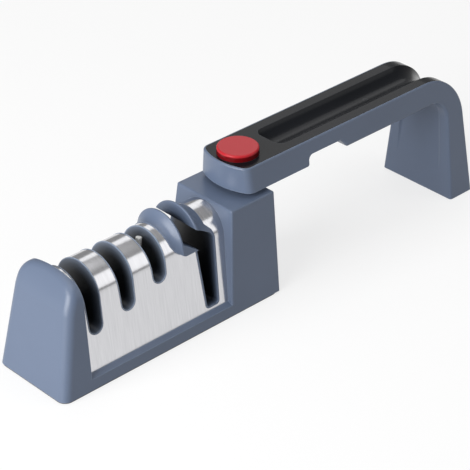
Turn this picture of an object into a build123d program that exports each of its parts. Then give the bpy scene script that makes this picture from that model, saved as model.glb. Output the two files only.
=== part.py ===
"""Pull through knife sharpener with a folding handle. Millimetres, +Z up.

The origin is on the table, in the middle of the whole length, with +X towards the leg.
Every sketch of the head and of the handle is drawn from the cap's bottom edge.
"""

import os
from math import atan, cos, degrees, radians, sin, tan

from build123d import *

os.makedirs("parts", exist_ok=True)

# Clearances
seat_gap = 0.05
slide_gap = 0.3
edge_round = 1.0

# Head, from the cap to the handle block
base_width = 50.0
head_draft_share = 0.089
pad_thickness = 0.7
pad_inset = 0.4
plate_thickness = 2.0
frame_wall = 2.6
cap_length = 18.0
cap_lean_share = 0.185
cap_crease_z = 44.0
cap_crease_radius = 3.0
cap_top = 58.5
cap_bulge = 1.1
cap_rim = 1.9
cap_rise = 1.2
cap_corner_z = 54.5
cap_corner_radius = 10.0
corner_radius = 4.65
rail_top = 7.6
rail_slope = 1.2
block_top = 57.2
block_length = 33.5
block_lean_share = 0.077
cover_rebate = 1.5

# Stages
stage_margin = 9.05
stage_pitch = 20.8
guide_offset = 20.55
lane_shift = 9.9
lane_margin = 3.6
slot_width = 10.2
slot_root_share = 0.39
coarse_floor = 25.7
fine_floor = 29.3
polish_floor = 35.0
mouth_width = 9.4
lane_width = 11.6
lane_taper = 2.1
lane_floor = 9.8
lane_round = 1.5
jog_high = 52.8
jog_drop = 6.0
jog_step = 4.2
jog_nose = 1.0
jog_nose_drop = 2.3

# Steel cover, core and scissors guide
sheet = 0.6
cover_top = 55.8
rail_width = 3.118
arch_lean_share = 0.158
sheet_margin = 0.5
slot_lip_rise = 0.15
crest_step = 1.2
crest_top = 61.3
lip_thickness = 1.0
lip_round = 0.45
guide_step = 0.4
left_flare = 6.4
right_flare = 12.0
flare_share = 0.4
flare_rise_share = 0.2
guide_foot_z = 42.7
guide_left_z = 49.0
guide_left_step = 1.4
guide_low_step = 3.0
guide_nose_z = 45.6
guide_right_reach = 8.3
guide_waist = 7.0
guide_strip = 1.4
liner = 0.8

# Sharpening pieces and their holders
chamber_width = 9.6
chamber_length = 18.0
holder_overlap = 1.0
blade_gap = 0.1
blade_depth = 2.0
blade_width = 2.4
rod_diameter = 2.4
stick_diameter = 3.2
tip_round = 0.3
crossing_drop = 2.0
root_depth = 8.0
coarse_reach = 11.0
fine_reach = 11.0
polish_reach = 16.0
coarse_angle = 12.0
fine_angle = 12.0
polish_angle = 9.0
scissors_diameter = 3.0
scissors_angle = 7.0
scissors_length = 30.0
scissors_root = 5.0

# Handle
fold_gap = 0.8
leg_thickness = 17.0
leg_lean_share = 0.09
leg_foot = 0.3
handle_gap = 2.8
handle_thickness = 13.6
handle_foot_width = 50.2
handle_wall = 2.4
handle_floor = 2.0
end_distance = 13.4
end_radius = 32.0
end_corner = 5.0
bend_radius = 28.0
inner_radius = 12.0
notch_spare = 2.0
notch_height = 5.8
notch_slant = 5.0
notch_round = 3.0
notch_edge = 1.2
rim_width = 0.9
rim_round = 0.9
inner_round = 1.5
channel_run = 33.8
channel_ramp = 6.0
channel_depth = 3.0
channel_side = 6.0
channel_round = 2.5
leg_pad_inset = 3.0
leg_pad_thickness = 1.6

# Grip insert and its groove
insert_thickness = 2.0
insert_gap = 0.15
insert_foot = 12.0
groove_start = 19.8
groove_side = 6.668
groove_depth = 4.4
groove_corner = 5.5
groove_wall = 1.2
groove_round = 3.7
groove_end_z = 14.0
groove_fade_z = 34.0
groove_fade_radius = 45.0

# Button, post and latch
button_diameter = 21.4
button_side = 5.568
button_proud = 3.6
button_round = 0.9
button_travel = 3.0
button_wall = 2.0
button_flange = 1.2
flange_reach = 1.4
flange_cut = 6.0
button_gap = 0.15
pivot_inset = 6.0
collar_radius = 5.6
post_radius = 4.4
shank_radius = 3.4
shank_depth = 21.0
boss_wall = 2.6
running_gap = 0.05
post_height = 5.4
bore_radius = 2.9
bore_depth = 7.4
flat_offset = 3.7
washer_thickness = 0.5
washer_radius = 7.4
clip_thickness = 0.8
clip_radius = 6.6
clip_mouth = 5.4
groove_radius = 3.7
latch_wire = 1.2
latch_reach = 7.5
latch_length = 22.0
latch_lift = 2.3
stem_radius = 1.7
stem_end_gap = 0.3
stem_boss = 3.6
lug_root = 0.2
lug_nose = 0.3
lug_tip_gap = 0.25
lug_clearance = 0.45
lug_spread = 1.3
lug_ramp = 2.0
spring_radius = 2.4
spring_wire = 0.6
spring_turns = 7

# Screws and pads
screw_radius = 1.5
screw_head_radius = 2.8
screw_head_height = 1.6
screw_length = 14.0
screw_edge = 8.5
pilot_gap = 0.05
access_gap = 0.8
screw_boss_radius = 3.4
handle_screw_radius = 1.25
handle_screw_head = 2.4
handle_screw_rise = 7.5
handle_screw_height = 1.2
handle_screw_sink = 0.4
handle_boss_radius = 2.8
first_screw_offset = 26.5
second_screw_offset = 92.0
pivot_screw_length = 16.0
pivot_screw_radius = 1.6

# Stations along the head, measured from the cap's bottom edge
coarse_x = cap_length + stage_margin
fine_x = coarse_x + stage_pitch
polish_x = fine_x + stage_pitch
mouth_x = polish_x + guide_offset
mouth_left = mouth_x - mouth_width / 2
mouth_right = mouth_x + mouth_width / 2
lane_x = mouth_x + lane_shift
lane_left = lane_x - lane_width / 2
lane_right = lane_x + lane_width / 2
block_front = lane_right + lane_margin
head_length = block_front + block_length
pivot_distance = head_length - pivot_inset
total_length = 2 * pivot_distance + fold_gap + leg_thickness
leg_inner = 2 * pivot_distance + fold_gap
cap_x = -total_length / 2
pivot_x = cap_x + pivot_distance

# Heights
frame_z = pad_thickness
plate_top = frame_z + plate_thickness
handle_under = block_top + handle_gap
handle_top = handle_under + handle_thickness
insert_under = handle_top - insert_thickness
floor_top = handle_under + handle_floor

# The cover stands between the rails, and the guide's crest is a step outside it
cover_end = block_front + block_lean_share * block_top + cover_rebate
cover_start = cap_length - cover_rebate
cover_foot = plate_top + seat_gap
lean_angle = atan(arch_lean_share)
spread = (base_width / 2 - rail_width) * cos(lean_angle) - (cover_top - cover_foot) * sin(lean_angle)
arch_radius = spread / (1 - sin(lean_angle))
arch_z = cover_top - arch_radius
crest_radius = arch_radius + crest_step
crest_z = crest_top - crest_radius

# The bar is as wide as the button and the strips beside it, and the sides' draft follows
button_radius = button_diameter / 2
handle_top_half = button_radius + button_side
handle_draft_share = (handle_foot_width / 2 - handle_top_half) / handle_top
groove_half = handle_top_half - groove_side
reach = 2 * total_length

# Edges are picked by how much of their direction lies along an axis
steep_share = 0.5
cross_share = 0.9
mid_share = 0.5

# Drawing planes, all starting at the cap's bottom edge
side = Plane(origin=(cap_x, 0, 0), x_dir=(1, 0, 0), z_dir=(0, -1, 0))


def direction(edge):
    """Direction of an edge at its middle."""
    return edge.tangent_at(mid_share)


def middle(edge):
    """Point of an edge at its middle."""
    return edge.position_at(mid_share)


def section(distance):
    """Plane across the head at a distance from the cap, with y to the right and z up."""
    return Plane(origin=(cap_x + distance, 0, 0), x_dir=(0, 1, 0), z_dir=(1, 0, 0))


def plan(height):
    """Plane seen from above at a height, starting at the cap's bottom edge."""
    return Plane(origin=(cap_x, 0, height))


def polygon(plane, points, rounds=()):
    """Face with the given corners; rounds holds pairs of a corner's number and its radius."""
    with BuildSketch(plane) as face:
        with BuildLine():
            Polyline(*points, close=True)
        make_face()
        for number, radius in rounds:
            fillet(face.vertices().sort_by_distance(Vector(*points[number]))[0], radius)
    return face.sketch


def trapezoid(plane, width, draft, low, high, inset=0.0):
    """Section with sides that lean in by the draft, drawn from a low to a high level."""
    half_low = width / 2 - draft * low - inset
    half_high = width / 2 - draft * high - inset
    return polygon(plane, [(-half_low, low), (half_low, low), (half_high, high), (-half_high, high)])


def arch_foot(radius, foot_z):
    """Half width of the arch section at its foot."""
    return (radius + (arch_z - foot_z) * sin(lean_angle)) / cos(lean_angle)


def arch(plane, radius, foot_z, centre_z=arch_z):
    """Section with a round top whose straight sides spread towards the foot."""
    foot_y = (radius + (centre_z - foot_z) * sin(lean_angle)) / cos(lean_angle)
    shoulder_y = radius * cos(lean_angle)
    shoulder_z = centre_z + radius * sin(lean_angle)
    with BuildSketch(plane) as face:
        with BuildLine():
            Line((foot_y, foot_z), (shoulder_y, shoulder_z))
            ThreePointArc((shoulder_y, shoulder_z), (0, centre_z + radius), (-shoulder_y, shoulder_z))
            Line((-shoulder_y, shoulder_z), (-foot_y, foot_z))
            Line((-foot_y, foot_z), (foot_y, foot_z))
        make_face()
    return face.sketch


def arch_solid(radius, foot_z, start, end):
    """Arch section drawn out between two distances from the cap."""
    with BuildPart() as solid:
        extrude(arch(section(start), radius, foot_z), amount=end - start)
    return solid.part


def slot_solid(centre, floor, grow=0.0):
    """Knife slot through the head: a tapering mouth on a round root."""
    half = slot_width / 2 + grow
    root = slot_width * slot_root_share + grow
    top = cap_top + edge_round
    root_z = floor - grow + root
    with BuildPart() as solid:
        with BuildSketch(side):
            with BuildLine():
                Line((centre - half, top), (centre - root, root_z))
                ThreePointArc((centre - root, root_z), (centre, floor - grow), (centre + root, root_z))
                Line((centre + root, root_z), (centre + half, top))
                Line((centre + half, top), (centre - half, top))
            make_face()
        extrude(amount=base_width, both=True)
    return solid.part


def scissors_solid(grow=0.0):
    """Scissors slot: an upper mouth that steps aside into the lower lane."""
    top = crest_z + crest_radius + edge_round
    points = [
        (mouth_left, top),
        (mouth_left, jog_high - jog_step),
        (lane_left, jog_high - jog_step - jog_drop),
        (lane_left + lane_taper, lane_floor),
        (lane_right - lane_taper, lane_floor),
        (lane_right, jog_high - jog_drop - jog_nose_drop),
        (lane_right - jog_nose, jog_high - jog_drop),
        (mouth_right, jog_high),
        (mouth_right, top),
    ]
    with BuildPart() as solid:
        with BuildSketch(side) as face:
            with BuildLine():
                Polyline(*points, close=True)
            make_face()
            fillet(face.vertices().sort_by_distance(Vector(*points[3]))[0], lane_round)
            fillet(face.vertices().sort_by_distance(Vector(*points[4]))[0], lane_round)
            if grow > 0:
                offset(amount=grow, kind=Kind.INTERSECTION)
        extrude(amount=base_width, both=True)
    return solid.part


# The cap: a leaning front that bends into a dome, within an arched outline with drafted sides
cap_low_x = cap_lean_share * frame_z
crease_x = cap_lean_share * cap_crease_z
dome_end = cap_length - cap_rim
dome_angle = atan((cap_top - cap_crease_z) / (dome_end - crease_x))
bulge_x = (crease_x + dome_end) / 2 - cap_bulge * sin(dome_angle)
bulge_z = (cap_crease_z + cap_top) / 2 + cap_bulge * cos(dome_angle)
cap_half_low = base_width / 2 - head_draft_share * frame_z
cap_half_high = base_width / 2 - head_draft_share * cap_corner_z
with BuildPart() as cap_shape:
    with BuildSketch(side) as cap_profile:
        with BuildLine():
            Line((cap_length, frame_z), (cap_low_x, frame_z))
            Line((cap_low_x, frame_z), (crease_x, cap_crease_z))
            ThreePointArc((crease_x, cap_crease_z), (bulge_x, bulge_z), (dome_end, cap_top))
            Line((dome_end, cap_top), (cap_length, cap_top + cap_rise))
            Line((cap_length, cap_top + cap_rise), (cap_length, frame_z))
        make_face()
        crease = cap_profile.vertices().sort_by_distance(Vector(crease_x, cap_crease_z))[0]
        fillet(crease, cap_crease_radius)
    extrude(amount=base_width, both=True)
    with BuildSketch(section(0)) as cap_outline:
        with BuildLine():
            Line((-cap_half_high, cap_corner_z), (-cap_half_low, frame_z))
            Line((-cap_half_low, frame_z), (cap_half_low, frame_z))
            Line((cap_half_low, frame_z), (cap_half_high, cap_corner_z))
            ThreePointArc((cap_half_high, cap_corner_z), (0, cap_top), (-cap_half_high, cap_corner_z))
        make_face()
        fillet(cap_outline.vertices().group_by(Axis.Y)[-1], cap_corner_radius)
    extrude(amount=cap_length, mode=Mode.INTERSECT)
    front_edges = cap_shape.edges().filter_by(lambda edge: middle(edge).X < cap_x + cap_length - seat_gap)
    front_edges = front_edges.filter_by(lambda edge: middle(edge).Z > frame_z + seat_gap)
    front_edges = front_edges.filter_by(lambda edge: abs(direction(edge).X) < cross_share)
    front_edges = front_edges.filter_by(
        lambda edge: edge.geom_type != GeomType.LINE or abs(direction(edge).Y) < cross_share
    )
    fillet(front_edges, corner_radius)

# The block: leaning front face and drafted sides
with BuildPart() as block_shape:
    block_points = [
        (block_front, frame_z),
        (head_length, frame_z),
        (head_length, block_top),
        (block_front + block_lean_share * block_top, block_top),
    ]
    extrude(polygon(side, block_points), amount=base_width, both=True)
    block_section = trapezoid(section(0), base_width, head_draft_share, frame_z, block_top)
    extrude(block_section, amount=reach, mode=Mode.INTERSECT)
    fillet(block_shape.edges().filter_by(lambda edge: edge.center().Z > frame_z + edge_round), edge_round)

# The rails run between cap and block; their top slopes down towards the outside
with BuildPart() as rails:
    rail_points = [
        (-base_width / 2 + head_draft_share * frame_z, frame_z),
        (base_width / 2 - head_draft_share * frame_z, frame_z),
        (base_width / 2 - head_draft_share * (rail_top - rail_slope), rail_top - rail_slope),
        (arch_foot(arch_radius, rail_top), rail_top),
        (-arch_foot(arch_radius, rail_top), rail_top),
        (-base_width / 2 + head_draft_share * (rail_top - rail_slope), rail_top - rail_slope),
    ]
    rail_section = polygon(section(cap_length - edge_round), rail_points)
    extrude(rail_section, amount=block_front + 2 * edge_round - cap_length)

# Room for the cover and core, open towards the bottom plate
cover_room = arch_solid(arch_radius + seat_gap, plate_top, cover_start, cover_end)

# Hollow of the cap, with a wall all round
with BuildPart() as cap_room:
    cap_room_points = [
        (cap_low_x + frame_wall, frame_z),
        (cover_start - frame_wall / 2, frame_z),
        (cover_start - frame_wall / 2, cap_crease_z),
        (crease_x + frame_wall, cap_crease_z - frame_wall),
    ]
    extrude(polygon(side, cap_room_points), amount=base_width, both=True)
    room_top = cap_crease_z
    cap_room_section = trapezoid(section(0), base_width, head_draft_share, frame_z, room_top, frame_wall)
    extrude(cap_room_section, amount=reach, mode=Mode.INTERSECT)

# The plate's screws stand in bosses of the cap and of the block
screw_y = base_width / 2 - frame_wall - screw_boss_radius
screw_rows = [screw_edge, block_front + screw_edge]
screw_spots = [(row, turn * screw_y) for row in screw_rows for turn in (1, -1)]
boss_top = plate_top + screw_length + screw_head_height

# Hollow of the block around the pivot's column
with BuildPart() as block_room:
    block_room_points = [
        (cover_end + frame_wall / 2, frame_z),
        (head_length - frame_wall, frame_z),
        (head_length - frame_wall, block_top - frame_wall),
        (cover_end + frame_wall / 2, block_top - frame_wall),
    ]
    extrude(polygon(side, block_room_points), amount=base_width, both=True)
    block_room_section = trapezoid(section(0), base_width, head_draft_share, frame_z, block_top, frame_wall)
    extrude(block_room_section, amount=reach, mode=Mode.INTERSECT)
    with BuildSketch(plan(block_top - shank_depth - pivot_screw_length / 2)):
        with Locations((pivot_distance, 0)):
            Circle(shank_radius + boss_wall)
    extrude(amount=block_top, mode=Mode.SUBTRACT)

with BuildPart() as bosses:
    with BuildSketch(plan(plate_top)):
        with Locations(*screw_spots):
            Circle(screw_boss_radius)
    extrude(amount=boss_top - plate_top)

# The bottom plate's outline, also used for its seat in the frame
plate_left = cap_low_x + frame_wall / 2
plate_right = head_length - frame_wall / 2
plate_half = base_width / 2 - frame_wall


def plate_outline(height, grow=0.0):
    """Rounded outline of the bottom plate at a height."""
    with BuildSketch(plan(height)) as face:
        with Locations(((plate_left + plate_right) / 2, 0)):
            RectangleRounded(plate_right - plate_left + 2 * grow, 2 * (plate_half + grow), corner_radius)
    return face.sketch


# Moulded frame: cap, rails and block in one piece
with BuildPart() as base_frame:
    add(cap_shape.part)
    add(block_shape.part)
    add(rails.part)
    add(cap_room.part, mode=Mode.SUBTRACT)
    add(block_room.part, mode=Mode.SUBTRACT)
    add(bosses.part)
    add(cover_room, mode=Mode.SUBTRACT)
    extrude(plate_outline(0, slide_gap / 2), amount=plate_top, mode=Mode.SUBTRACT)
    with Locations(plan(plate_top)):
        with Locations(*screw_spots):
            Hole(screw_radius + pilot_gap, depth=boss_top - plate_top - screw_head_height)
    with BuildSketch(plan(block_top - shank_depth)):
        with Locations((pivot_distance, 0)):
            Circle(shank_radius + seat_gap)
    extrude(amount=2 * shank_depth, mode=Mode.SUBTRACT)
    with BuildSketch(plan(block_top - shank_depth)):
        with Locations((pivot_distance, 0)):
            Circle(pivot_screw_radius + pilot_gap)
    extrude(amount=-pivot_screw_length, mode=Mode.SUBTRACT)
base_frame.part.label = "base_frame"
export_step(base_frame.part, "parts/base_frame.step")

# Bent steel cover with its slots
knife_slots = [(coarse_x, coarse_floor), (fine_x, fine_floor), (polish_x, polish_floor)]
cover_inner = arch_radius - sheet
with BuildPart() as steel_cover:
    cover_section = arch(section(cover_start + seat_gap), arch_radius, cover_foot)
    extrude(cover_section, amount=cover_end - cover_start - 2 * seat_gap)
    hollow_section = arch(section(cover_start), cover_inner, plate_top)
    extrude(hollow_section, amount=cover_end - cover_start, mode=Mode.SUBTRACT)
    for centre, floor in knife_slots:
        add(slot_solid(centre, floor, sheet_margin), mode=Mode.SUBTRACT)
    add(scissors_solid(liner + seat_gap), mode=Mode.SUBTRACT)
steel_cover.part.label = "steel_cover"
export_step(steel_cover.part, "parts/steel_cover.step")

# Moulded core inside the cover, with a chamber from below for each holder.
# Around each knife slot a thin lip of the core stands up through the steel.
core_radius = cover_inner - seat_gap
chambers = [(centre, floor + holder_overlap) for centre, floor in knife_slots]
lane_ceiling = lane_floor - liner - seat_gap
chambers.append((lane_x, lane_ceiling))


def slot_lip(centre, floor):
    """Block of the core that fills the steel's slot and stands just proud of it."""
    with BuildPart() as solid:
        add(slot_solid(centre, floor, sheet_margin - seat_gap))
        lip_radius = arch_radius + slot_lip_rise
        add(arch_solid(lip_radius, cover_foot, cover_start, cover_end), mode=Mode.INTERSECT)
    return solid.part


with BuildPart() as core_housing:
    core_section = arch(section(cover_start + 2 * seat_gap), core_radius, cover_foot)
    extrude(core_section, amount=cover_end - cover_start - 4 * seat_gap)
    for centre, floor in knife_slots:
        add(slot_lip(centre, floor))
    for centre, floor in knife_slots:
        add(slot_solid(centre, floor), mode=Mode.SUBTRACT)
    add(scissors_solid(liner + seat_gap), mode=Mode.SUBTRACT)
    for centre, ceiling in chambers:
        with BuildSketch(plan(0)):
            with Locations((centre, 0)):
                RectangleRounded(chamber_width, chamber_length, edge_round)
        extrude(amount=ceiling + seat_gap, mode=Mode.SUBTRACT)
core_housing.part.label = "core_housing"
export_step(core_housing.part, "parts/core_housing.step")

# Scissors guide: two raised lips with hollow flanks, lofted from arch sections
left_crest = mouth_left - lip_thickness
right_crest = mouth_right + lip_thickness
foot_radius = arch_radius + guide_step
guide_low_z = min(arch_z, guide_foot_z)


def guide_section(distance, share):
    """Section of the guide, between the foot on the steel and the full crest."""
    radius = foot_radius + share * (crest_radius - foot_radius)
    centre_z = arch_z + share * (crest_z - arch_z)
    return arch(section(distance), radius, guide_low_z, centre_z)


guide_trim = [
    (left_crest - left_flare, crest_z + crest_radius),
    (left_crest - left_flare + guide_left_step, guide_left_z),
    (left_crest - guide_low_step, guide_nose_z),
    (left_crest, guide_foot_z + guide_strip / 2),
    (left_crest + guide_strip, guide_foot_z),
    (lane_x, guide_foot_z),
    (lane_right + guide_strip / 2, guide_foot_z + guide_strip),
    (lane_right + guide_strip / 2, jog_high - jog_drop - jog_nose),
    (lane_right, jog_high - jog_drop + guide_strip),
    (right_crest + guide_waist, jog_high - guide_strip),
    (right_crest + guide_waist, jog_high),
    (right_crest + guide_right_reach, crest_z + crest_radius),
]
with BuildPart() as guide_shape:
    left_sections = [
        guide_section(left_crest - left_flare, 0),
        guide_section(left_crest - left_flare * flare_share, flare_rise_share),
        guide_section(left_crest, 1),
    ]
    loft(left_sections)
    loft([guide_section(left_crest, 1), guide_section(right_crest, 1)])
    right_sections = [
        guide_section(right_crest, 1),
        guide_section(right_crest + right_flare * flare_share, flare_rise_share),
        guide_section(right_crest + right_flare, 0),
    ]
    loft(right_sections)
    extrude(polygon(side, guide_trim), amount=base_width, both=True, mode=Mode.INTERSECT)
scissors_tilt = radians(scissors_angle)
scissors_plane = Plane(
    origin=(cap_x + lane_x + scissors_length * sin(scissors_tilt) / 2, 0, lane_floor - scissors_root),
    x_dir=(cos(scissors_tilt), 0, sin(scissors_tilt)),
    z_dir=(-sin(scissors_tilt), 0, cos(scissors_tilt)),
)
with BuildPart() as liner_shape:
    add(scissors_solid(liner))
    add(arch_solid(arch_radius + guide_step / 2, plate_top, cap_length, cover_end), mode=Mode.INTERSECT)
with BuildPart() as scissors_guide:
    add(guide_shape.part)
    add(arch_solid(arch_radius + seat_gap, plate_top, cap_length, cover_end), mode=Mode.SUBTRACT)
    add(liner_shape.part)
    add(scissors_solid(), mode=Mode.SUBTRACT)
    crest_edges = scissors_guide.edges().filter_by(lambda edge: middle(edge).Z > crest_top - lip_round)
    fillet(crest_edges, lip_round)
    with BuildSketch(scissors_plane):
        Circle(scissors_diameter / 2 + seat_gap)
    extrude(amount=scissors_length, mode=Mode.SUBTRACT)
scissors_guide.part.label = "scissors_guide"
export_step(scissors_guide.part, "parts/scissors_guide.step")


def pocket_plane(centre, floor, angle, step):
    """Leaning plane of a blade at its root, moved along y by the step."""
    tilt = radians(angle)
    drop = root_depth - crossing_drop
    start = Plane(
        origin=(cap_x + centre - drop * tan(tilt), step, floor - root_depth),
        x_dir=(cos(tilt), 0, -sin(tilt)),
        z_dir=(sin(tilt), 0, cos(tilt)),
    )
    return start


def blade_length(lift, angle):
    """Length of a blade from its root to the height it reaches."""
    return (root_depth + lift) / cos(radians(angle))


# Holders stand on the bottom plate and keep the sharpening pieces crossed
blade_step = (blade_gap + blade_depth) / 2
rod_step = (blade_gap + rod_diameter) / 2
stick_step = (blade_gap + stick_diameter) / 2


def holder(centre, ceiling):
    """Hollow holder that fills a chamber of the core."""
    with BuildPart() as solid:
        with BuildSketch(plan(plate_top + seat_gap)):
            with Locations((centre, 0)):
                RectangleRounded(chamber_width - 2 * seat_gap, chamber_length - 2 * seat_gap, edge_round)
        extrude(amount=ceiling - plate_top - seat_gap)
        chamfer(solid.edges().group_by(Axis.Z)[-1], tip_round)
    return solid.part


with BuildPart() as coarse_holder:
    add(holder(coarse_x, coarse_floor + holder_overlap))
    for turn in (1, -1):
        with BuildSketch(pocket_plane(coarse_x, coarse_floor, turn * coarse_angle, turn * blade_step)):
            Rectangle(blade_width + 2 * seat_gap, blade_depth + seat_gap)
        extrude(amount=2 * root_depth, mode=Mode.SUBTRACT)
coarse_holder.part.label = "coarse_holder"
export_step(coarse_holder.part, "parts/coarse_holder.step")

with BuildPart() as fine_holder:
    add(holder(fine_x, fine_floor + holder_overlap))
    for turn in (1, -1):
        with BuildSketch(pocket_plane(fine_x, fine_floor, turn * fine_angle, turn * rod_step)):
            Circle(rod_diameter / 2 + seat_gap)
        extrude(amount=2 * root_depth, mode=Mode.SUBTRACT)
fine_holder.part.label = "fine_holder"
export_step(fine_holder.part, "parts/fine_holder.step")

with BuildPart() as polish_holder:
    add(holder(polish_x, polish_floor + holder_overlap))
    for turn in (1, -1):
        with BuildSketch(pocket_plane(polish_x, polish_floor, turn * polish_angle, turn * stick_step)):
            Circle(stick_diameter / 2 + seat_gap)
        extrude(amount=2 * root_depth, mode=Mode.SUBTRACT)
polish_holder.part.label = "polish_holder"
export_step(polish_holder.part, "parts/polish_holder.step")

# Crossed carbide blades of the coarse stage
for number, turn in enumerate((1, -1), 1):
    with BuildPart() as blade:
        with BuildSketch(pocket_plane(coarse_x, coarse_floor, turn * coarse_angle, turn * blade_step)):
            Rectangle(blade_width, blade_depth)
        extrude(amount=blade_length(coarse_reach, coarse_angle))
        fillet(blade.edges().group_by(Axis.Z)[-1], tip_round)
    blade.part.label = f"carbide_blade_{number}"
    export_step(blade.part, f"parts/carbide_blade_{number}.step")

# Crossed diamond rods of the fine stage
for number, turn in enumerate((1, -1), 1):
    with BuildPart() as rod:
        with BuildSketch(pocket_plane(fine_x, fine_floor, turn * fine_angle, turn * rod_step)):
            Circle(rod_diameter / 2)
        extrude(amount=blade_length(fine_reach, fine_angle))
        chamfer(rod.edges().filter_by(GeomType.CIRCLE), tip_round)
    rod.part.label = f"diamond_rod_{number}"
    export_step(rod.part, f"parts/diamond_rod_{number}.step")

# Crossed white ceramic sticks of the polishing stage
for number, turn in enumerate((1, -1), 1):
    with BuildPart() as stick:
        with BuildSketch(pocket_plane(polish_x, polish_floor, turn * polish_angle, turn * stick_step)):
            Circle(stick_diameter / 2)
        extrude(amount=blade_length(polish_reach, polish_angle))
        fillet(stick.edges().filter_by(GeomType.CIRCLE), tip_round)
    stick.part.label = f"ceramic_stick_{number}"
    export_step(stick.part, f"parts/ceramic_stick_{number}.step")

# Scissors stage: one leaning ceramic rod in a low holder
with BuildPart() as scissors_holder:
    add(holder(lane_x, lane_ceiling))
    with BuildSketch(scissors_plane):
        Circle(scissors_diameter / 2 + seat_gap)
    extrude(amount=scissors_length, mode=Mode.SUBTRACT)
scissors_holder.part.label = "scissors_holder"
export_step(scissors_holder.part, "parts/scissors_holder.step")

with BuildPart() as scissors_rod:
    with BuildSketch(scissors_plane):
        Circle(scissors_diameter / 2)
    extrude(amount=scissors_length)
    fillet(scissors_rod.edges().filter_by(GeomType.CIRCLE), tip_round)
scissors_rod.part.label = "scissors_rod"
export_step(scissors_rod.part, "parts/scissors_rod.step")

# Bottom plate, its screws and the non-slip pad
with BuildPart() as base_plate:
    extrude(plate_outline(frame_z), amount=plate_thickness)
    with Locations(plan(frame_z)):
        with Locations(*screw_spots):
            Hole(screw_radius + slide_gap)
    with BuildSketch(plan(frame_z)):
        with Locations(*screw_spots):
            Circle(screw_head_radius + slide_gap)
    extrude(amount=screw_head_height, mode=Mode.SUBTRACT)
base_plate.part.label = "base_plate"
export_step(base_plate.part, "parts/base_plate.step")

with BuildPart() as base_screws:
    with BuildSketch(plan(frame_z)):
        with Locations(*screw_spots):
            Circle(screw_head_radius)
    extrude(amount=screw_head_height - seat_gap)
    with BuildSketch(plan(frame_z)):
        with Locations(*screw_spots):
            Circle(screw_radius)
    extrude(amount=screw_length)
base_screws.part.label = "base_screws"
export_step(base_screws.part, "parts/base_screws.step")

with BuildPart() as base_pad:
    with BuildSketch(plan(0)):
        with Locations((head_length / 2, 0)):
            RectangleRounded(head_length - 2 * pad_inset, base_width - 2 * pad_inset, corner_radius)
        with Locations(*screw_spots):
            Circle(screw_head_radius + access_gap, mode=Mode.SUBTRACT)
    extrude(amount=pad_thickness - seat_gap)
base_pad.part.label = "base_pad"
export_step(base_pad.part, "parts/base_pad.step")

# Handle: one profile routine gives the outside, the hollow and the insert's bed
bar_start = pivot_distance - end_distance
notch_left = 2 * pivot_distance - (right_crest + guide_right_reach)
notch_right = 2 * pivot_distance - (left_crest - left_flare) + notch_spare
notch_top = handle_under + notch_height


def side_view(outer_inset, inner_inset, foot_z):
    """Side view of bar and leg, drawn inside the outer and inner faces by the insets."""
    top = handle_top - outer_inset
    under = handle_under + inner_inset
    left = notch_left - inner_inset
    right = notch_right + inner_inset
    ceiling = notch_top + inner_inset
    inner = leg_inner + inner_inset
    points = [
        (bar_start - end_radius, under),
        (left, under),
        (left, ceiling),
        (right - notch_slant, ceiling),
        (right, under),
        (inner, under),
        (inner, foot_z),
        (total_length - leg_lean_share * foot_z - outer_inset, foot_z),
        (total_length - leg_lean_share * top - outer_inset, top),
        (bar_start - end_radius, top),
    ]
    rounds = [
        (1, notch_edge),
        (2, notch_round),
        (4, notch_edge),
        (5, inner_radius + inner_inset),
        (8, bend_radius - outer_inset),
    ]
    return polygon(side, points, rounds)


def bar_and_leg(outer_inset, inner_inset, side_inset, end_inset, foot_z):
    """Bar and leg within drafted sides and the curved end, all drawn in by the insets."""
    arc_x = bar_start + end_radius
    arc_radius = end_radius - end_inset
    with BuildPart() as solid:
        extrude(side_view(outer_inset, inner_inset, foot_z), amount=base_width, both=True)
        high = handle_top + edge_round
        across = trapezoid(section(0), handle_foot_width, handle_draft_share, 0, high, side_inset)
        extrude(across, amount=reach, mode=Mode.INTERSECT)
        with BuildSketch(plan(0)):
            with BuildLine():
                ThreePointArc((arc_x, -arc_radius), (arc_x - arc_radius, 0), (arc_x, arc_radius))
                Line((arc_x, arc_radius), (reach, arc_radius))
                Line((reach, arc_radius), (reach, -arc_radius))
                Line((reach, -arc_radius), (arc_x, -arc_radius))
            make_face()
        extrude(amount=2 * handle_top, mode=Mode.INTERSECT)
        steep = solid.edges().filter_by(lambda edge: abs(direction(edge).Z) > steep_share)
        corners = steep.filter_by(lambda edge: edge.center().X < cap_x + pivot_distance)
        fillet(corners, end_corner - side_inset)
    return solid.part


def channel_solid(grow=0.0):
    """Hollow under the bend and along the leg's inner face; grown, it keeps a wall around it."""
    start = leg_inner - channel_run
    depth = channel_depth + grow
    points = [
        (start - grow, handle_under + grow),
        (start - grow + channel_ramp, handle_under + depth),
        (leg_inner + depth, handle_under + depth),
        (leg_inner + grow - edge_round, -edge_round),
        (start - grow, -edge_round),
    ]
    with BuildPart() as solid:
        extrude(polygon(side, points, [(2, inner_radius + depth)]), amount=base_width, both=True)
        inset = channel_side - grow
        low = -edge_round
        across = trapezoid(section(0), handle_foot_width, handle_draft_share, low, handle_top, inset)
        extrude(across, amount=reach, mode=Mode.INTERSECT)
        long_edges = solid.edges().filter_by(lambda edge: abs(edge.center().Y) > edge_round)
        inner_edges = long_edges.filter_by(lambda edge: edge.center().X > cap_x + start + edge_round)
        fillet(inner_edges.filter_by(lambda edge: edge.center().Z > 0), channel_round)
    return solid.part


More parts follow.
